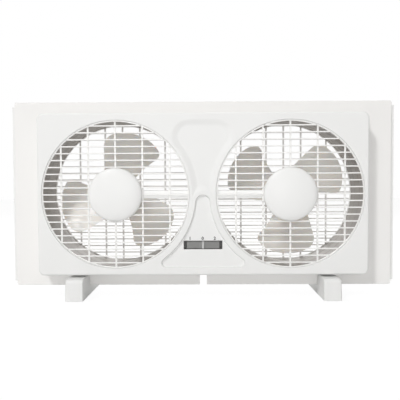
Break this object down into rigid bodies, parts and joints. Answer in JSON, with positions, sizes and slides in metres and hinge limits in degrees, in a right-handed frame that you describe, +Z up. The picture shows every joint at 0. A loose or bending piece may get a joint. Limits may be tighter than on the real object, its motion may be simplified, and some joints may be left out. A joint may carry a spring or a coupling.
{
  "type": "twin window fan",
  "caption": "Twin window fan: side-by-side fans behind round grilles in a white fascia, with a window frame, sliding end panels, a slide switch and pull-off feet.",
  "frame": {"origin": "on the floor, below the middle of the two feet, midway between the fans", "axes": "+X to the right seen from the front, +Y backwards, so the grilles with the caps face -Y, +Z up"},
  "size_m": [0.6322, 0.17, 0.3215],
  "materials": {
    "casing_plastic": "semi-gloss moulded white plastic, softly rounded edges",
    "blade_plastic": "warm white moulded plastic, semi-gloss",
    "knob_plastic": "satin grey plastic with a pale ridge",
    "dark_plastic": "matt near-black plastic",
    "bracket_zinc": "dull die-cast zinc",
    "bush_bronze": "oiled sintered bronze",
    "motor_iron": "stacked lamination edges",
    "motor_winding": "enamelled copper wire under a clear wrap",
    "lead_insulation": "soft white insulation",
    "screw_steel": "zinc-plated steel",
    "pad_rubber": "matt grey rubber"
  },
  "bodies": {
    "housing": {"front_fascia": "casing_plastic", "window_frame": "casing_plastic", "rear_cover": "casing_plastic", "cord_gland": "dark_plastic", "switch_body": "dark_plastic", "left_front_grille": "casing_plastic", "left_rear_guard": "casing_plastic", "left_hub_cap": "casing_plastic", "left_duct": "casing_plastic", "left_wire_channel": "casing_plastic", "left_motor_lead": "lead_insulation", "left_motor_front_bracket": "bracket_zinc", "left_motor_rear_bracket": "bracket_zinc", "left_motor_front_bush": "bush_bronze", "left_motor_rear_bush": "bush_bronze", "left_motor_stator": "motor_iron", "left_motor_coil": "motor_winding", "left_motor_screw_left": "screw_steel", "left_motor_screw_right": "screw_steel", "right_front_grille": "casing_plastic", "right_rear_guard": "casing_plastic", "right_hub_cap": "casing_plastic", "right_duct": "casing_plastic", "right_wire_channel": "casing_plastic", "right_motor_lead": "lead_insulation", "right_motor_front_bracket": "bracket_zinc", "right_motor_rear_bracket": "bracket_zinc", "right_motor_front_bush": "bush_bronze", "right_motor_rear_bush": "bush_bronze", "right_motor_stator": "motor_iron", "right_motor_coil": "motor_winding", "right_motor_screw_left": "screw_steel", "right_motor_screw_right": "screw_steel", "case_screw_left_top": "screw_steel", "case_screw_left_bottom": "screw_steel", "case_screw_centre_top": "screw_steel", "case_screw_centre_bottom": "screw_steel", "case_screw_right_top": "screw_steel", "case_screw_right_bottom": "screw_steel"},
    "left_fan": {"left_fan_blade": "blade_plastic", "left_motor_rotor": "motor_iron", "left_motor_shaft": "screw_steel", "left_blade_nut": "screw_steel"},
    "right_fan": {"right_fan_blade": "blade_plastic", "right_motor_rotor": "motor_iron", "right_motor_shaft": "screw_steel", "right_blade_nut": "screw_steel"},
    "switch_slider": {"speed_knob": "knob_plastic"},
    "left_panel": {"left_extension_panel": "casing_plastic"},
    "right_panel": {"right_extension_panel": "casing_plastic"},
    "left_stand": {"left_foot": "casing_plastic", "left_foot_pad_front": "pad_rubber", "left_foot_pad_rear": "pad_rubber"},
    "right_stand": {"right_foot": "casing_plastic", "right_foot_pad_front": "pad_rubber", "right_foot_pad_rear": "pad_rubber"}
  },
  "joints": [
    {"name": "left_fan_spin", "type": "hinge", "parent": "housing", "child": "left_fan", "pos_m": [-0.1405, -0.0044, 0.1695], "axis": [0, 1, 0], "continuous": true},
    {"name": "right_fan_spin", "type": "hinge", "parent": "housing", "child": "right_fan", "pos_m": [0.1405, -0.0044, 0.1695], "axis": [0, 1, 0], "continuous": true},
    {"name": "speed_slide", "type": "slide", "parent": "housing", "child": "switch_slider", "axis": [1, 0, 0], "range_m": [-0.02, 0.02]},
    {"name": "left_panel_slide", "type": "slide", "parent": "housing", "child": "left_panel", "axis": [-1, 0, 0], "range_m": [0, 0.036]},
    {"name": "right_panel_slide", "type": "slide", "parent": "housing", "child": "right_panel", "axis": [1, 0, 0], "range_m": [0, 0.036]},
    {"name": "left_foot_pull", "type": "slide", "parent": "housing", "child": "left_stand", "axis": [0, 0, -1], "range_m": [0, 0.03]},
    {"name": "right_foot_pull", "type": "slide", "parent": "housing", "child": "right_stand", "axis": [0, 0, -1], "range_m": [0, 0.03]}
  ]
}
